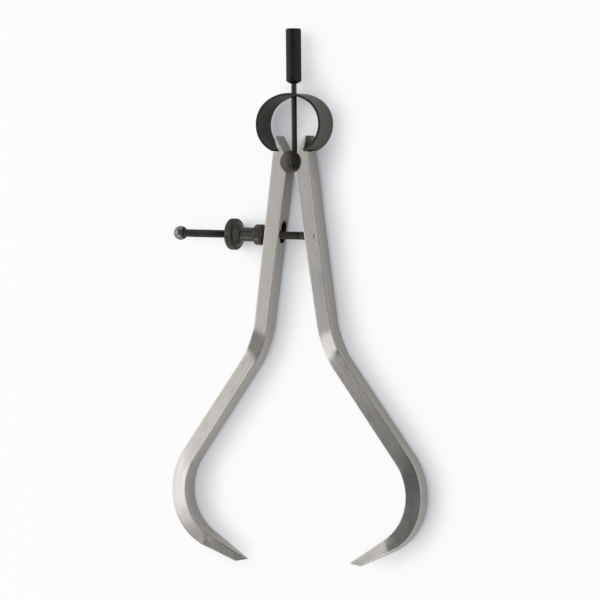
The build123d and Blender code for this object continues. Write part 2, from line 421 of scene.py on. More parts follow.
def turned(name, profile, origin, axis, columns=96, ripple=None, loop=False):
    """Surface of revolution. The profile's points are (distance along the axis, radius) in millimetres; point
    (i, j) is origin + axis * distance + radius * (cos a * side + sin a * other), with a = 2 pi j / columns.
    ripple(distance, angle) is added to the radius. Unless it is a loop, a profile starts and ends on the
    axis."""
    axis = np.asarray(axis, float)
    side = np.cross(axis, front_axis if abs(axis[2]) < 0.9 else handle_axis)
    side /= np.linalg.norm(side)
    other = np.cross(axis, side)
    body = profile if loop else profile[1:-1]
    distance, radius = body[:, :1], body[:, 1:]
    angle = np.arange(columns)[None, :] / columns * 2 * math.pi
    reach = radius + (ripple(distance, angle) if ripple else 0)
    rings = origin + MM * (
        distance[..., None] * axis
        + (reach * np.cos(angle))[..., None] * side
        + (reach * np.sin(angle))[..., None] * other)
    around = np.linspace(0, 2 * math.pi * float(radius.mean()) * MM, columns + 1)
    apexes = None if loop else [origin + MM * profile[end, 0] * axis for end in (0, -1)]
    return ring_surface(name, rings, walked(body) * MM, around, apexes, loop)


def rounded_section(flat_columns=8, corner_columns=5):
    """Rounded rectangle as four arrays of columns: which part of the flats (from -1 to 1 across and in depth)
    and which part of the corner's arc (cosine across, sine in depth) each column stands on."""
    near_edge = 0.94
    flat = np.concatenate([[-1.0], np.linspace(-near_edge, near_edge, flat_columns), [1.0]])
    arc = np.linspace(0, math.pi / 2, corner_columns + 1)[1:-1]
    one = np.ones_like(flat)
    zero = np.zeros_like(flat)
    unit = np.ones_like(arc)
    parts = [
        (flat, one, zero, one), (unit, unit, np.sin(arc), np.cos(arc)),
        (one, -flat, one, zero), (unit, -unit, np.cos(arc), -np.sin(arc)),
        (-flat, -one, zero, -one), (-unit, -unit, -np.sin(arc), -np.cos(arc)),
        (-one, flat, -one, zero), (-unit, unit, -np.cos(arc), np.sin(arc)),
    ]
    return [np.concatenate([part[k] for part in parts]) for k in range(4)]


def leg_edges():
    """Inner and outer edge of the right leg, point for point, from the tip of the horn to the tip of the toe.
    The edges are straight lines and arcs at half the width to each side of the bent centre line; on the head
    they are the horn's faces, the shoulder and the round seat. Also returned: how far each pair is bent,
    as a share, positive at the bend and negative in the foot, and the count of pairs above the bend."""
    bar_top = np.array([head_offset, 0.0])
    bend_start = bar_top + heading(bar_lean) * bar_length
    bend_centre = bend_start + across(bar_lean) * bend_radius
    shank_start = bend_centre - across(shank_lean) * bend_radius
    foot_start = shank_start + heading(shank_lean) * shank_length
    foot_centre = foot_start - across(shank_lean) * foot_radius

    def bar_edge(side, height):
        """Point of the bar's straight edge at a height."""
        top = bar_top + across(bar_lean) * side * head_width / 2
        low = bend_start + across(bar_lean) * side * bend_width / 2
        return top + (low - top) * (height - top[1]) / (low[1] - top[1])

    def horn_face(height):
        """Point of the horn's inner face at a height."""
        share = (height - horn_face_foot[1]) / (horn_height - horn_face_foot[1])
        return np.array([horn_face_foot[0] + (horn_tip_inner - horn_face_foot[0]) * share, height])

    def seat_meets(point_at, low=0.5, high=5.0):
        """Height at which an edge crosses the seat's circle, by halving the interval."""
        for _ in range(40):
            middle = (low + high) / 2
            inside = np.linalg.norm(point_at(middle)) < seat_radius
            low, high = (middle, high) if inside else (low, middle)
        return (low + high) / 2

    seat_top = seat_meets(horn_face)
    seat_bottom = -seat_meets(lambda depth: bar_edge(-1, -depth))
    start_angle = math.atan2(seat_top, horn_face(seat_top)[0])
    end_angle = math.atan2(seat_bottom, bar_edge(-1, seat_bottom)[0])
    seat_rows = head_rows[3]
    seat = start_angle + (end_angle - start_angle) * np.arange(seat_rows) / seat_rows
    facing_shoulder = (3.95, 3.5)
    inner_head = np.concatenate([
        chain([horn_face(height) for height in (horn_height, *facing_shoulder, seat_top)], head_rows[:3]),
        seat_radius * circle(seat),
        between(bar_edge(-1, seat_bottom), bar_edge(-1, head_end), head_rows[4])])
    bar_heights = (shoulder_height, seat_top, seat_bottom, head_end)
    outer_head = chain([
        (horn_tip_outer, horn_height), (horn_root, shoulder_height),
        *(bar_edge(1, height) for height in bar_heights)], head_rows)

    foot_middle = (shank_lean + toe_lean) / 2
    bend = np.linspace(bar_lean, shank_lean, bend_rows, endpoint=False)
    upper_foot = np.linspace(shank_lean, foot_middle, foot_rows, endpoint=False)
    upper_half = np.interp(upper_foot, [foot_middle, shank_lean], [foot_width, shank_width])[:, None] / 2

    def body_edge(side, foot_end_reach, toe):
        """The edge below the head: bar, bend, shank, foot and toe."""
        bar_end = bend_start + across(bar_lean) * side * bend_width / 2
        shank_top = shank_start + across(shank_lean) * side * bend_width / 2
        shank_foot = foot_start + across(shank_lean) * side * shank_width / 2
        foot_waist = foot_centre + across(foot_middle) * (foot_radius + side * foot_width / 2)
        toe_start = foot_centre + across(toe_lean) * (foot_radius + side * foot_end_reach)
        return np.concatenate([
            between(bar_edge(side, head_end), bar_end, bar_rows),
            bend_centre - across(bend) * (bend_radius - side * bend_width / 2),
            between(shank_top, shank_foot, shank_rows),
            foot_centre + across(upper_foot) * (foot_radius + side * upper_half),
            tangent_arc(foot_waist, heading(foot_middle), toe_start, foot_rows),
            between(toe_start, toe, toe_rows), toe[None, :]])

    inner = np.concatenate([smoothed(inner_head, 3), smoothed(body_edge(-1, foot_end_inner, toe_inner), 10)])
    outer = np.concatenate([smoothed(outer_head, 3), smoothed(body_edge(1, foot_end_outer, toe_outer), 10)])

    straight = len(inner_head) + bar_rows
    bend_first = straight + bend_rows // 4
    bend_share = np.zeros((len(inner), 1))
    bend_share[bend_first:bend_first + bend_rows // 2] = 1.0
    foot_first = straight + bend_rows + shank_rows + 8
    foot_eases = foot_first + 32
    toe_first = len(inner) - toe_rows - 1
    foot_share = np.zeros((len(inner), 1))
    foot_share[foot_first:foot_eases] = 1.0
    foot_share[foot_eases:toe_first] = 0.75
    bent = smoothed(bend_share, 10) - smoothed(foot_share, 60)
    return inner, outer, bent, straight


def leg_surface(name, side, look):
    """Square bar with rounded edges, carried along the leg. Across each pair of edge points stands a rounded
    rectangle; its half depth shrinks over the toe by the distance past the bevel's start times the bevel's
    slope, and tilts where the bar is bent."""
    inner, outer, bent, straight = leg_edges()
    edge = look.edge_radius / MM
    at_flat, at_depth, arc_across, arc_depth = rounded_section()
    middle = (inner + outer) / 2
    width = np.linalg.norm(outer - inner, axis=1)[:, None]
    out = (outer - inner) / width
    widest_edge = 0.3
    edge_here = np.minimum(edge, width * widest_edge)
    sideways = at_flat * (width / 2 - edge_here) + arc_across * edge_here
    plan = middle[:, None] + out[:, None] * sideways[..., None]

    toe_middle = (toe_inner + toe_outer) / 2
    bevel_start = toe_middle - heading(toe_lean) * toe_bevel_length
    past = (plan - bevel_start) @ heading(toe_lean)
    past = toe_softening * np.logaddexp(0, past / toe_softening)
    drop = past * (leg_depth - toe_depth) / 2 / toe_bevel_length
    swell = math.tan(look.bend_swell) * bent * sideways
    half_depth = leg_depth / 2 - drop + swell
    depth = at_depth * (half_depth - edge_here) + arc_depth * edge_here
    rings = in_row_frame(np.concatenate([plan * [side, 1], depth[..., None]], -1))

    above_bend = np.arange(len(middle)) < straight
    square = np.where(above_bend[:, None], across(bar_lean), out)
    centre = np.where(above_bend[:, None], [head_offset, 0.0], middle)
    beside = np.einsum("ijk,ik->ij", plan - centre[:, None], square)
    down = (plan - [head_offset, 0.0]) @ heading(bar_lean)
    step = np.linalg.norm(np.diff(middle, axis=0, prepend=middle[:1]), axis=1)
    travelled = np.cumsum(step)
    travelled += down[straight - 1].mean() - travelled[straight - 1]
    along = np.where(above_bend[:, None], down, travelled[:, None])
    along = np.concatenate([along, along[:, :1]], 1) * MM
    wrap = [np.concatenate([part, part[:, :1]], 1) for part in (beside, depth)]
    walked = np.abs(np.diff(wrap[0], axis=1)) + np.abs(np.diff(wrap[1], axis=1))
    around = (np.concatenate([np.zeros((len(rings), 1)), np.cumsum(walked, 1)], 1) + beside[:, :1]) * MM
    return ring_surface(name, rings, along, around)


def prism(name, outline, low, high):
    """Straight block over a closed outline in the drawing plane, from one depth to the other."""
    rings = np.stack([np.column_stack([outline, np.full(len(outline), level)]) for level in (low, high)])
    map_length = 0.01
    around = np.linspace(0, map_length, len(outline) + 1)
    return ring_surface(name, in_row_frame(rings), np.array([0.0, map_length]), around)


def cut(piece, cutter, operation="DIFFERENCE"):
    """Piece with the cutter's solid taken out of it, or joined to it, and the mesh made final."""
    modifier = piece.modifiers.new("cut", "BOOLEAN")
    modifier.operation = operation
    modifier.solver = "EXACT"
    modifier.object = cutter
    evaluated = piece.evaluated_get(bpy.context.evaluated_depsgraph_get())
    mesh = bpy.data.meshes.new_from_object(evaluated)
    piece.modifiers.clear()
    old = piece.data
    piece.data = mesh
    mesh.name = piece.name
    bpy.data.meshes.remove(old)
    spent = cutter.data
    bpy.data.objects.remove(cutter)
    bpy.data.meshes.remove(spent)
    if len(mesh.polygons) == 0:
        raise RuntimeError(f"cutting left nothing of {piece.name}")
    mesh.set_sharp_from_angle(angle=sharp_angle)
    return piece


def drilled(piece, start, end, radius, origin, axis):
    """Piece with a round hole along the axis, whose ends are given by their distances from the origin."""
    profile = np.array([[start, 0], [start, radius], [end, radius], [end, 0]], float)
    return cut(piece, turned("drill", profile, origin, axis, 48))


def obround(length, width, steps=12):
    """Closed outline of two half circles joined by straight lines, long axis first."""
    turn = np.linspace(-math.pi / 2, math.pi / 2, steps)
    end = circle(turn) * width / 2 + [(length - width) / 2, 0]
    return np.concatenate([end, -end])


def slot_cutter():
    """Slot of the left leg: obrounds carried from the inner face, where it is long, to the outer, where the
    collar bears, with their length and place changing evenly on the way."""
    reach = bend_width / 2 + slot_overrun
    centre = slot_seat - across(bar_lean) * bend_width / 2
    uphill = -heading(bar_lean)
    share = np.linspace(0, 1, 9)
    rings = []
    for part in share:
        length = slot_length[0] + (slot_length[1] - slot_length[0]) * part
        rise = slot_rise[0] + (slot_rise[1] - slot_rise[0]) * part
        outline = obround(length, slot_width)
        origin = centre + across(bar_lean) * reach * (2 * part - 1) + uphill * rise
        plan = origin + outline[:, :1] * uphill
        rings.append(in_row_frame(np.column_stack([-plan[:, 0], plan[:, 1], outline[:, 1]])))
    rings = np.array(rings)
    map_length = 0.01
    around = np.linspace(0, map_length * 2, rings.shape[1] + 1)
    return ring_surface("slot_cutter", rings, share * map_length, around)


def mortise_cutter():
    """Space that the screw's flat end swings in: an arc about the pivot between two straight flanks."""
    closed = screw_direction + closing_angle
    opened = screw_direction - opening_angle
    turn = np.linspace(closed + math.pi / 2, opened + 3 * math.pi / 2, 30)
    arc = (eye_radius + mortise_play) * circle(turn)
    ends = [arc[-1] + mortise_reach * circle(opened), arc[0] + mortise_reach * circle(closed)]
    outline = np.vstack([arc, ends]) + (pivot - fulcrum)[:2] / MM
    return prism("mortise_cutter", outline, -mortise_width / 2, mortise_width / 2)


class CALIPER_OT_legs(bpy.types.Operator):
    """Make both legs: bent bars with horn, seat and bevelled toe, one with the slot, one with the mortise"""

    bl_idname = "caliper.legs"
    bl_label = "Legs"

    def execute(self, context):
        look = context.scene.caliper_legs
        steel = satin_steel(look)
        left = cut(leg_surface("left_leg_ground", -1, look), slot_cutter())
        right = cut(leg_surface("right_leg_ground", 1, look), mortise_cutter())
        right = drilled(right, -drill_reach, drill_reach, pin_hole_radius, pivot, front_axis)
        for piece, node, body in ((left, "left_leg", "left_side"), (right, "right_leg", "right_side")):
            dress(piece, steel, node, body)
        return {"FINISHED"}


def spring_half(name, side):
    """Half of the bow spring: a rounded rectangle, thin outwards and wide in depth, carried along the side
    arc and the crown arc, which are tangent, from the cut end to the middle of the crown."""
    rise = spring_top - spring_side_height
    crown_radius = spring_side_offset ** 2 + rise ** 2 - spring_side_radius ** 2
    crown_radius /= 2 * (rise - spring_side_radius)
    crown_height = spring_top - crown_radius
    joint = math.atan2(spring_side_height - crown_height, spring_side_offset)
    end = math.asin((spring_end - spring_side_offset) / spring_side_radius) - math.pi / 2
    side_rows = 90
    crown_rows = 30
    side_turn = np.linspace(end, joint, side_rows, endpoint=False)
    crown_turn = np.linspace(joint, math.pi / 2, crown_rows)
    turn = np.concatenate([side_turn, crown_turn])
    on_side = (np.arange(len(turn)) < side_rows)[:, None]
    centre = np.where(on_side, [spring_side_offset, spring_side_height], [0.0, crown_height])
    radius = np.where(on_side, spring_side_radius, crown_radius) - spring_thickness / 2
    out = circle(turn)
    middle = centre + out * radius
    at_flat, at_depth, arc_across, arc_depth = rounded_section(6)
    sideways = at_flat * (spring_thickness / 2 - spring_edge) + arc_across * spring_edge
    depth = at_depth * (spring_width / 2 - spring_edge) + arc_depth * spring_edge
    plan = middle[:, None] + out[:, None] * sideways[None, :, None]
    depth = np.broadcast_to(depth, plan.shape[:2])
    rings = in_row_frame(np.concatenate([plan * [side, 1], depth[..., None]], -1))
    along = walked(middle) * MM
    step = np.hypot(np.diff(sideways, append=sideways[0]), np.diff(depth[0], append=depth[0, 0]))
    around = np.concatenate([[0], np.cumsum(step)]) * MM
    return ring_surface(name, rings, along, around)


class CALIPER_OT_spring(bpy.types.Operator):
    """Make the bow spring in two halves that meet at the crown"""

    bl_idname = "caliper.spring"
    bl_label = "Bow Spring"

    def execute(self, context):
        strip = black_strip(context.scene.caliper_dark)
        for side, name, body in ((-1, "bow_spring_left", "left_side"), (1, "bow_spring_right", "right_side")):
            half = spring_half(name, side)
            half = drilled(half, *stem_hole_reach, stem_hole_radius, fulcrum, handle_axis)
            half.data.materials.clear()
            half.data.materials.append(strip)
            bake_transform(half)
            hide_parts("bow_spring")
        return {"FINISHED"}


class CALIPER_OT_head(bpy.types.Operator):
    """Make the fulcrum stud, the stem and the finely knurled grip"""

    bl_idname = "caliper.head"
    bl_label = "Stud and Handle"

    def execute(self, context):
        look = context.scene.caliper_dark
        face = [(stud_outside + rise, radius) for rise, radius in stud_face]
        half = np.array([*face, (stud_inside, stud_head_radius), (stud_inside, stud_neck_radius)])
        corners = np.vstack([half, (half * [-1, 1])[::-1]])
        cuts = [0.08, 0.05, 0.6, 0.5, 0.15, 0.08, 0.08]
        profile = eased(corners, cuts + cuts[::-1])
        stud = turned("fulcrum_stud_turned", refined(profile, 0.35), fulcrum, front_axis, 120)
        dress(stud, black_turned(look), "fulcrum_stud", "head")

        stem_top = grip_foot + stem_in_grip
        corners = [(stem_foot, 0), (stem_foot, stem_radius), (stem_top, stem_radius), (stem_top, 0)]
        stem = turned("handle_stem_turned", refined(eased(corners, 0.15), 1.0), fulcrum, handle_axis, 48)
        dress(stem, black_turned(look), "handle_stem", "head")

        def knurl(distance, angle):
            """Two sets of crossing helical grooves on the grip's middle, fading out at its ends."""
            turn = grip_knurl_turns * angle
            lead = grip_knurl_turns * distance / grip_radius
            crossing = np.abs(np.sin((turn + lead) / 2) * np.sin((turn - lead) / 2))
            inside = faded(distance, grip_knurl_start, grip_knurl_end, 0.3)
            return -grip_knurl_depth * (1 - crossing) * inside

        corners = [(grip_foot, 0), (grip_foot, grip_foot_radius), (grip_foot + grip_cone_height, grip_radius),
                   (grip_top, grip_radius), (grip_top, 0)]
        profile = refined(eased(corners, [0.15, 0.4, 0.75], 10), 0.12)
        grip = turned("handle_grip_knurled", profile, fulcrum, handle_axis, 260, knurl)
        grip.data.set_sharp_from_angle(angle=knurl_sharp_angle)
        dress(grip, black_knurl(look), "handle_grip", "head")
        return {"FINISHED"}


class CALIPER_OT_screw(bpy.types.Operator):
    """Make the threaded screw with its flat eye, the pivot pin and the bright end stop"""

    bl_idname = "caliper.screw"
    bl_label = "Screw, Pin and Stop"

    def execute(self, context):
        look = context.scene.caliper_dark
        pitch = look.thread_pitch / MM
        neck = ball_distance - ball_radius
        thread_end = neck + 0.6

        def thread(distance, angle):
            """Helical ridge: a triangle wave of distance over pitch less the turn, faded in at both ends."""
            phase = (distance / pitch - angle / (2 * math.pi)) % 1
            ridge = np.abs(2 * phase - 1)
            inside = faded(distance, tongue_length + 0.6, thread_end - 0.3, 0.5)
            return -thread_depth * (1 - ridge) * inside

        root_radius = 0.8
        neck_radius = 1.0
        corners = [
            (tongue_length - 1.0, 0), (tongue_length - 1.0, root_radius), (tongue_length, screw_radius),
            (thread_end, screw_radius), (thread_end + 0.3, neck_radius), (ball_distance, neck_radius),
            (ball_distance, 0)]
        profile = refined(eased(corners, [0.1, 0.15, 0.1, 0.1, 0.1]), pitch / 9)
        rod = turned("adjusting_screw_threaded", profile, pivot, screw_axis, 40, thread)
        turn = np.linspace(math.pi / 2, 3 * math.pi / 2, 30)
        eye = eye_radius * circle(turn)
        tongue_end = tongue_length - 0.2
        tongue_half = eye_radius - 0.45
        outline = np.vstack([eye, [[tongue_end, -tongue_half], [tongue_end, tongue_half]]])
        cosine, sine = circle(screw_direction)
        outline = outline @ [[cosine, sine], [-sine, cosine]] + (pivot - fulcrum)[:2] / MM
        rod = cut(rod, prism("tongue", outline, -tongue_thickness / 2, tongue_thickness / 2), "UNION")
        rod = drilled(rod, -drill_reach, drill_reach, eye_hole_radius, pivot, front_axis)
        dress(rod, black_turned(look), "adjusting_screw", "screw")

        end = leg_depth / 2
        corners = [(-end, 0), (-end, pin_radius), (end, pin_radius), (end, 0)]
        pin = turned("screw_pivot_pin_turned", refined(eased(corners, 0.12), 0.8), pivot, front_axis, 48)
        steel = context.scene.caliper_legs.colour
        dress(pin, ground_pin(look, steel), "screw_pivot_pin", "right_side")

        polar = np.linspace(0, math.pi, 66)
        profile = ball_radius * np.stack([-np.cos(polar), np.sin(polar)], -1) + [ball_distance, 0.0]
        ball = turned("end_stop_ball", profile, pivot, screw_axis, 96)
        dress(ball, bright_steel(look), "end_stop", "screw")
        return {"FINISHED"}


class CALIPER_OT_nut(bpy.types.Operator):
    """Make the knurled nut and the domed thrust collar"""

    bl_idname = "caliper.nut"
    bl_label = "Nut and Collar"

    def execute(self, context):
        look = context.scene.caliper_dark
        depth = look.knurl_depth / MM
        bore = screw_radius + 0.1

        def knurl(distance, angle):
            """Straight grooves round the rim: a raised cosine to a power, faded out on the chamfers."""
            wave = (0.5 + 0.5 * np.cos(knurl_count * angle)) ** 1.5
            return -depth * (1 - wave) * faded(distance, rim_start, rim_end, 0.25)

        low_rim = rim_radius - rim_chamfer
        dish = rim_end - nut_dish_depth
        corners = [
            (nut_start, bore), (nut_start, hub_radius), (hub_end, hub_radius),
            (rim_start - 0.05, nut_shoulder_radius), (rim_start, low_rim),
            (rim_start + rim_chamfer, rim_radius), (rim_end - rim_chamfer, rim_radius), (rim_end, low_rim),
            (rim_end, nut_dish_radius + 0.2), (dish, nut_dish_radius), (dish, bore), (rim_end - 0.5, bore)]
        profile = refined(eased(corners, [0.2, 0.5, 0.1, 0.06, 0.1, 0.1, 0.1, 0.1, 0.1, 0.08]), 0.3)
        nut = turned("adjusting_nut_knurled", profile, pivot, screw_axis, knurl_count * 8, knurl, loop=True)
        dress(nut, black_turned(look), "adjusting_nut", "nut")

        ends = [math.asin(radius / collar_dome_radius) for radius in (bore, collar_dome_edge)]
        turn = np.linspace(*ends, 24)
        dome = collar_dome_radius * np.stack([1 - np.cos(turn), np.sin(turn)], -1) + [collar_apex, 0.0]
        back = eased([dome[-1], (dome[-1, 0] + 0.12, collar_radius), (collar_end, collar_radius),
                      (collar_end, bore), (collar_end - 0.3, bore)], [0.1, 0.45, 0.05])
        profile = refined(np.vstack([dome[:-1], back]), 0.3)
        collar = turned("thrust_collar_domed", profile, pivot, screw_axis, 120, loop=True)
        dress(collar, black_turned(look), "thrust_collar", "collar")
        return {"FINISHED"}


def dress(piece, finish, node, body):
    """Give a piece its finish and put it in a node's place on the node's body."""
    piece.data.materials.clear()
    piece.data.materials.append(finish)
    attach(piece, body)
    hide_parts(node)


def add_node(tree, kind, values=None, **settings):
    """New node with its settings and with values or links on its inputs."""
    made = tree.nodes.new(kind)
    for key, value in settings.items():
        setattr(made, key, value)
    for key, value in (values or {}).items():
        if isinstance(value, bpy.types.NodeSocket):
            tree.links.new(value, made.inputs[key])
        else:
            made.inputs[key].default_value = value
    return made


class Shading:
    """Node tree of one finish, built from the colour, the grain and the surface."""

    def __init__(self, name, metallic=0.0):
        self.material = bpy.data.materials.new(name)
        self.material.use_nodes = True
        self.tree = self.material.node_tree
        self.tree.nodes.clear()
        self.surface = self.node("ShaderNodeBsdfPrincipled", {"Metallic": metallic})
        self.output = self.node("ShaderNodeOutputMaterial")
        self.tree.links.new(self.surface.outputs["BSDF"], self.output.inputs["Surface"])

    def node(self, kind, values=None, **settings):
        """New node in this tree."""
        return add_node(self.tree, kind, values, **settings)

    def feed(self, socket, source):
        """Link an output to one of the surface's inputs."""
        self.tree.links.new(source, self.surface.inputs[socket])

    def completed(self, colour, roughness, normal=None):
        """The material, after its surface's colour, roughness and bump are linked."""
        for socket, source in (("Base Color", colour), ("Roughness", roughness), ("Normal", normal)):
            if source is not None:
                self.feed(socket, source)
        return self.material

    def grain(self, scale, detail=4.0, roughness=0.6):
        """Noise stretched along the grain map: scale is the cells for each metre along and around."""
        uv = self.node("ShaderNodeUVMap", uv_map="grain")
        mapping = self.node("ShaderNodeMapping", {"Vector": uv.outputs["UV"], "Scale": (*scale, 1.0)})
        noise = self.node("ShaderNodeTexNoise", {
            "Vector": mapping.outputs["Vector"], "Scale": 1.0, "Detail": detail, "Roughness": roughness})
        return noise.outputs["Fac"]

    def mottle(self, cells, detail=3.0):
        """Even noise through the piece, with that many cells for each metre."""
        place = self.node("ShaderNodeTexCoord")
        noise = self.node("ShaderNodeTexNoise", {
            "Vector": place.outputs["Object"], "Scale": cells, "Detail": detail, "Roughness": 0.55})
        return noise.outputs["Fac"]

    def coordinate(self, axis):
        """Coordinate of the shaded point along an axis of the row frame."""
        place = self.node("ShaderNodeTexCoord")
        return self.node("ShaderNodeSeparateXYZ", {0: place.outputs["Object"]}).outputs[axis]

    def calculated(self, operation, *values):
        """Result of an operation on values or links."""
        return self.node("ShaderNodeMath", dict(enumerate(values)), operation=operation).outputs[0]

    def from_middle(self):
        """Distance in metres from the tool's middle plane, through the fulcrum and square to its axis."""
        height = self.calculated("SUBTRACT", self.coordinate("Z"), float(fulcrum[2]))
        return self.calculated("ABSOLUTE", height)

    def spread(self, value, low, high, start=0.3, end=0.7):
        """Value from its usual range onto low to high."""
        mapped = self.node("ShaderNodeMapRange", {
            "Value": value, "From Min": start, "From Max": end, "To Min": low, "To Max": high})
        return mapped.outputs["Result"]

    def blend_colour(self, factor, first, second):
        """Colour between two colours or links."""
        ends = [end if isinstance(end, bpy.types.NodeSocket) else (*end, 1.0) for end in (first, second)]
        mix = self.node("ShaderNodeMix", {0: factor, 6: ends[0], 7: ends[1]}, data_type="RGBA")
        return mix.outputs[2]

    def toned(self, noise, colour, low, high):
        """Colour times a share that the noise moves from low to high."""
        return self.blend_colour(self.spread(noise, 0, 1), shade(colour, low), shade(colour, high))

    def bump(self, height, distance, strength, after=None):
        """Bump from a height, on top of another bump."""
        values = {"Height": height, "Distance": distance, "Strength": strength}
        if after is not None:
            values["Normal"] = after
        return self.node("ShaderNodeBump", values).outputs["Normal"]


def shade(colour, factor):
    """Colour made lighter or darker."""
    return tuple(min(1.0, channel * factor) for channel in colour)


def satin_steel(look):
    """Steel ground lengthwise: fine and coarse streaks along the grain in colour, roughness and bump,
    faint handling marks, and a reflection that spreads across the grain."""
    finish = Shading("satin_steel_ground", metallic=1.0)
    colour = tuple(look.colour)
    fine = finish.grain((45.0, 7000.0))
    coarse = finish.grain((18.0, 1300.0), 3.0)
    marks = finish.mottle(90.0)
    streaked = finish.toned(coarse, colour, 0.90, 1.08)
    streaked = finish.blend_colour(finish.spread(fine, 0, 0.5), streaked, shade(colour, 0.80))
    stained = finish.blend_colour(finish.spread(marks, 0, 0.5, 0.52, 0.72), streaked, (0.50, 0.47, 0.43))
    handled = finish.spread(marks, look.roughness - 0.04, look.roughness + 0.06)
    roughness = finish.calculated("ADD", finish.spread(fine, -0.05, 0.05), handled)
    ridges = finish.bump(coarse, 0.00002, 0.25)
    tangent = finish.node("ShaderNodeTangent", direction_type="UV_MAP", uv_map="grain")
    finish.feed("Tangent", tangent.outputs["Tangent"])
    finish.surface.inputs["Anisotropic"].default_value = 0.78
    finish.surface.inputs["Anisotropic Rotation"].default_value = 0.25
    return finish.completed(stained, roughness, finish.bump(fine, 0.000008, 0.5, ridges))


def black_turned(look):
    """Blackened turned steel: fine rings left by the tool, cloudy patches of brown and a dull sheen."""
    name = "black_turned_steel"
    if name in bpy.data.materials:
        return bpy.data.materials[name]
    finish = Shading(name, metallic=0.92)
    colour = tuple(look.turned_colour)
    rings = finish.grain((9000.0, 40.0), 2.0)
    clouds = finish.mottle(350.0)
    grains = finish.mottle(5200.0, 2.0)
    toned = finish.blend_colour(finish.spread(clouds, 0, 1), shade(colour, 0.75), (0.075, 0.067, 0.058))
    toned = finish.blend_colour(finish.spread(rings, 0, 0.35), toned, shade(colour, 1.7))
    normal = finish.bump(grains, 0.000012, 0.25, finish.bump(rings, 0.00001, 0.35))
    return finish.completed(toned, finish.spread(clouds, 0.26, 0.40), normal)


def black_knurl(look):
    """Blackened knurl of the grip: deep black with faint clouds, a fine grit and a soft sheen."""
    finish = Shading("black_knurled_steel", metallic=0.9)
    colour = shade(look.turned_colour, 0.5)
    clouds = finish.mottle(260.0)
    grains = finish.mottle(4200.0, 2.0)
    toned = finish.toned(clouds, colour, 0.8, 1.3)
    return finish.completed(toned, finish.spread(clouds, 0.42, 0.56), finish.bump(grains, 0.000012, 0.3))


def ground_pin(look, steel):
    """Blackened pin whose ends were ground flush with the leg, so that they are bare and a little dull."""
    finish = Shading("black_pin_ground_ends", metallic=1.0)
    end = leg_depth / 2 * MM
    bare = finish.spread(finish.from_middle(), 0, 1, end - 0.16 * MM, end - 0.06 * MM)
    scratches = finish.mottle(2600.0)
    ground = finish.toned(scratches, steel, 0.80, 1.05)
    toned = finish.blend_colour(bare, tuple(look.turned_colour), ground)
    return finish.completed(toned, finish.spread(scratches, 0.3, 0.42), finish.bump(scratches, 0.00001, 0.3))


def black_strip(look):
    """Blackened spring strip: rolling lines along the strip, clouds of darker and paler black, and front and
    back edges painted darker as painted shade."""
    finish = Shading("black_spring_strip", metallic=0.7)
    colour = tuple(look.spring_colour)
    lines = finish.grain((60.0, 3500.0), 3.0)
    clouds = finish.mottle(160.0)
    toned = finish.toned(clouds, colour, 0.72, 1.25)
    toned = finish.blend_colour(finish.spread(lines, 0, 0.4), toned, shade(colour, 1.6))
    # Painted shade: the strip's front and back edges are darkened in colour to stand in for the shade along
    # its rims.
    edge = spring_width / 2 * MM
    painted_rim_shade = finish.spread(finish.from_middle(), 0, 1, edge - 0.25 * MM, edge - 0.05 * MM)
    toned = finish.blend_colour(painted_rim_shade, toned, shade(colour, 0.35))
    return finish.completed(toned, finish.spread(clouds, 0.34, 0.48), finish.bump(lines, 0.00001, 0.3))


def bright_steel(look):
    """Polished ball with faint turning rings and smears, black where the screw enters it: partly blackening,
    partly painted shade and reflection of the black rod.
    """
    finish = Shading("bright_ball_steel", metallic=1.0)
    colour = tuple(look.bright_colour)
    rings = finish.grain((5000.0, 30.0), 2.0)
    smears = finish.mottle(420.0)
    bare = finish.toned(smears, colour, 0.85, 1.08)
    ball_x = float((pivot + screw_axis * ball_distance * MM)[0])
    # Painted shade and blackening: the ball's side next to the rod is painted near black, partly for its
    # oxide and partly for the rod's shadow and dark reflection.
    socket = finish.spread(finish.coordinate("X"), 0, 1, ball_x + 1.1 * MM, ball_x + 1.7 * MM)
    toned = finish.blend_colour(socket, bare, (0.03, 0.03, 0.028))
    return finish.completed(toned, finish.spread(smears, 0.24, 0.36), finish.bump(rings, 0.000008, 0.25))


def paper_floor(look):
    """Pale matt floor with a barely visible tooth. To the camera most of its look is a glow: white where the
    sky is open over it, and a painted blue-grey shadow in the hollows beside the tool, reckoned by ambient
    occlusion about the sky side. The tool mirrors less of that glow."""
    finish = Shading("pale_floor")
    tooth = finish.mottle(900.0)
    toned = finish.toned(tooth, tuple(look.floor_colour), 0.995, 1.005)
    material = finish.completed(toned, finish.spread(tooth, 0.85, 0.95))
    finish.surface.inputs["Specular IOR Level"].default_value = 0.0
    # Painted shadow: ambient occlusion, reckoned about the sky side, darkens the floor's glow beside the
    # tool.
    brighter_side = finish.node("ShaderNodeCombineXYZ", dict(enumerate(look.sky_side)))
    open_sky = finish.node("ShaderNodeAmbientOcclusion", {
        "Distance": look.shadow_reach, "Normal": brighter_side.outputs["Vector"]}, samples=12)
    bright = finish.spread(open_sky.outputs["AO"], 0, 1, 0.0, look.open_from)
    # The blue-grey is the colour of the painted shadow; open floor glows white.
    glow_with_painted_shadow = finish.node("ShaderNodeEmission", {
        "Color": finish.blend_colour(bright, (0.0, 0.02, 0.05), (1.0, 1.0, 1.0)), "Strength": 1.0})
    ray = finish.node("ShaderNodeLightPath")
    mirrored = finish.calculated("MULTIPLY", ray.outputs["Is Glossy Ray"], look.mirrored_share)
    seen = finish.calculated("MAXIMUM", ray.outputs["Is Camera Ray"], mirrored)
    share = finish.calculated("MULTIPLY", seen, look.glow_share)
    mixed = finish.node("ShaderNodeMixShader", {
        0: share, 1: finish.surface.outputs["BSDF"], 2: glow_with_painted_shadow.outputs["Emission"]})
    finish.tree.links.new(mixed.outputs[0], finish.output.inputs["Surface"])
    return material


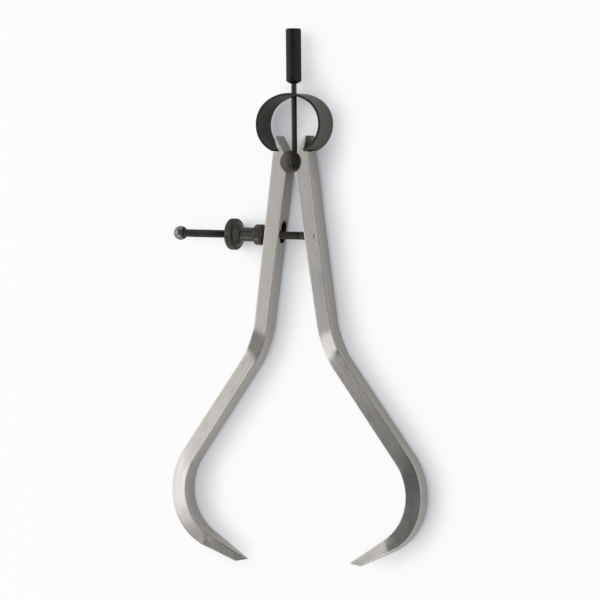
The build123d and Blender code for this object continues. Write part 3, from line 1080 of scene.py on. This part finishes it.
def surroundings(look):
    """World that is white at the horizon, grey straight above and pale again high on the right."""
    world = bpy.data.worlds.new("studio")
    bpy.context.scene.world = world
    world.use_nodes = True
    tree = world.node_tree
    tree.nodes.clear()
    place = add_node(tree, "ShaderNodeTexCoord")
    parts = add_node(tree, "ShaderNodeSeparateXYZ", {0: place.outputs["Generated"]})
    ramps = []
    for axis, grey_end, bright_end, strength in (("Z", 0.65, 0.25, 1.0), ("X", 0.30, 0.75, look.right_sky)):
        ramp = add_node(tree, "ShaderNodeMapRange", {
            "Value": parts.outputs[axis], "From Min": grey_end, "From Max": bright_end,
            "To Min": look.zenith, "To Max": strength}, interpolation_type="SMOOTHSTEP")
        ramps.append(ramp.outputs["Result"])
    brighter = add_node(tree, "ShaderNodeMath", dict(enumerate(ramps)), operation="MAXIMUM")
    light = add_node(tree, "ShaderNodeBackground", {
        "Color": (1.0, 1.0, 1.0, 1.0), "Strength": brighter.outputs[0]})
    add_node(tree, "ShaderNodeOutputWorld", {"Surface": light.outputs["Background"]})


def aim(thing, location, target, roll=0.0):
    """Place a lamp or the camera and turn it to look at a point, with +Y up in its picture."""
    back = np.asarray(location, float) - np.asarray(target, float)
    back /= np.linalg.norm(back)
    right = np.cross([0.0, 1.0, 0.0], back)
    right /= np.linalg.norm(right)
    up = np.cross(back, right)
    turned_right = right * math.cos(roll) + up * math.sin(roll)
    turned_up = up * math.cos(roll) - right * math.sin(roll)
    matrix = np.eye(4)
    matrix[:3, :4] = np.stack([turned_right, turned_up, back, location], -1)
    thing.matrix_world = Matrix(matrix.tolist())


def soft_box(name, power, size, place, target):
    """Rectangular lamp that faces the target."""
    data = bpy.data.lights.new(name, "AREA")
    data.shape = "RECTANGLE"
    data.size, data.size_y = size
    data.energy = power
    box = bpy.data.objects.new(name, data)
    bpy.context.scene.collection.objects.link(box)
    aim(box, place, target)


class CALIPER_OT_stage(bpy.types.Operator):
    """Make the floor, the surroundings, the lamps and the camera"""

    bl_idname = "caliper.stage"
    bl_label = "Stage"

    def execute(self, context):
        look = context.scene.caliper_stage
        scene = context.scene
        reach = 4.0
        corners = [(-reach, -reach, 0.0), (reach, -reach, 0.0), (reach, reach, 0.0), (-reach, reach, 0.0)]
        mesh = bpy.data.meshes.new("floor")
        mesh.from_pydata(corners, [], [[0, 1, 2, 3]])
        floor = bpy.data.objects.new("floor", mesh)
        scene.collection.objects.link(floor)
        mesh.materials.append(paper_floor(look))
        surroundings(look)

        soft_box("key_box", look.key_power, *key_box)
        soft_box("fill_box", look.fill_power, *fill_box)

        camera_data = bpy.data.cameras.new("camera")
        camera_data.sensor_width = 36.0
        camera_data.lens = camera_lens
        camera_data.clip_start = 0.05
        camera_data.clip_end = 20.0
        camera = bpy.data.objects.new("camera", camera_data)
        scene.collection.objects.link(camera)
        level = math.cos(camera_tip)
        lean = look.camera_lean
        back = np.array([math.sin(lean) * level, math.sin(camera_tip), math.cos(lean) * level])
        target = in_row_frame(camera_target)
        aim(camera, target + back * look.camera_distance, target, camera_roll)
        scene.camera = camera
        scene.view_settings.view_transform = "Standard"
        return {"FINISHED"}


class CALIPER_PT_panel(bpy.types.Panel):
    """Sidebar panel that lists the caliper's operators and their settings"""

    bl_label = "Outside Caliper"
    bl_idname = "CALIPER_PT_panel"
    bl_space_type = "VIEW_3D"
    bl_region_type = "UI"
    bl_category = "Caliper"

    def draw(self, context):
        layout = self.layout
        for operator in OPERATORS:
            layout.operator(operator.bl_idname)
        for group in (context.scene.caliper_legs, context.scene.caliper_dark, context.scene.caliper_stage):
            box = layout.box()
            for key in group.bl_rna.properties.keys():
                if key not in ("rna_type", "name"):
                    box.prop(group, key)


OPERATORS = (
    CALIPER_OT_legs,
    CALIPER_OT_spring,
    CALIPER_OT_head,
    CALIPER_OT_screw,
    CALIPER_OT_nut,
    CALIPER_OT_stage,
)
CLASSES = (LegLook, DarkLook, StageLook, *OPERATORS, CALIPER_PT_panel)


def register():
    for each in CLASSES:
        bpy.utils.register_class(each)
    bpy.types.Scene.caliper_legs = PointerProperty(type=LegLook)
    bpy.types.Scene.caliper_dark = PointerProperty(type=DarkLook)
    bpy.types.Scene.caliper_stage = PointerProperty(type=StageLook)


def unregister():
    del bpy.types.Scene.caliper_stage
    del bpy.types.Scene.caliper_dark
    del bpy.types.Scene.caliper_legs
    for each in reversed(CLASSES):
        bpy.utils.unregister_class(each)


def main():
    """Register the add-on, and make every piece and the stage."""
    register()
    bpy.ops.caliper.legs()
    bpy.ops.caliper.spring()
    bpy.ops.caliper.head()
    bpy.ops.caliper.screw()
    bpy.ops.caliper.nut()
    bpy.ops.caliper.stage()


if __name__ == "__main__":
    main()
